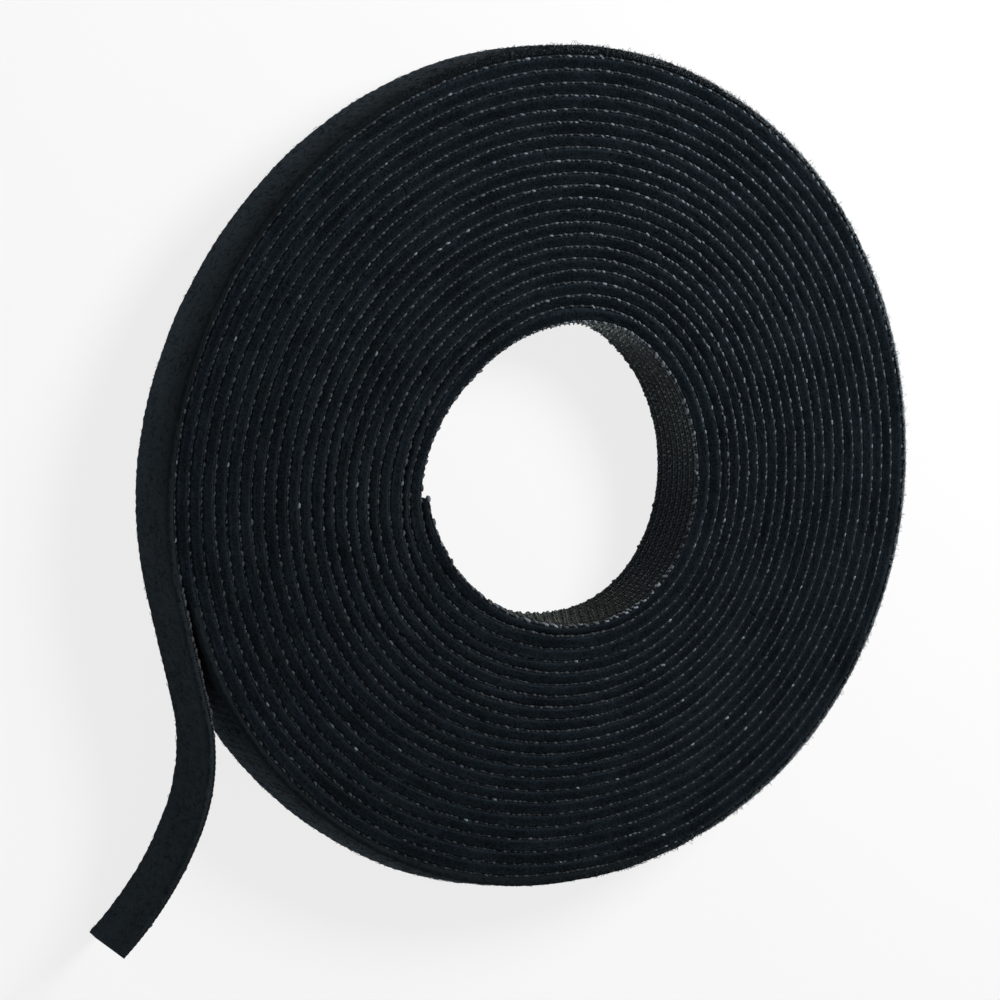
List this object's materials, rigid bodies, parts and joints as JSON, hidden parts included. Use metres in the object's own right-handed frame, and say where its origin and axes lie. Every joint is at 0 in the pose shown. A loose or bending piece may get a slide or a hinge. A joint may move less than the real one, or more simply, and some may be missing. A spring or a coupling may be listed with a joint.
{
  "type": "hook and loop tape roll",
  "caption": "Coreless roll of narrow black back-to-back hook and loop tape, wound hook side in, with a free tail that peels away from the last turn.",
  "frame": {"origin": "middle of the roll's outline in plan, on the surface that the tape's lower edge rests on", "axes": "+Z along the roll's own axis and across the tape's width, with the roll lying on its side; seen from +Z the tape winds outward anticlockwise, and its free tail leaves on the -X side and points towards -Y"},
  "size_m": [0.1164, 0.1086, 0.01],
  "materials": {
    "hook_side": "woven nylon ground with rows of small stiff hooks, slight gloss",
    "loop_side": "fuzzy nylon loop pile, matt"
  },
  "bodies": {
    "roll": {"coil_hook_layer": "hook_side", "coil_loop_layer": "loop_side"},
    "free_end": {"tail_hook_layer": "hook_side", "tail_loop_layer": "loop_side"}
  },
  "joints": [
    {"name": "tail_peel", "type": "hinge", "parent": "roll", "child": "free_end", "pos_m": [-0.04968, -0.01248, 0.005], "axis": [0, 0, -1], "range_deg": [0, 75]}
  ]
}
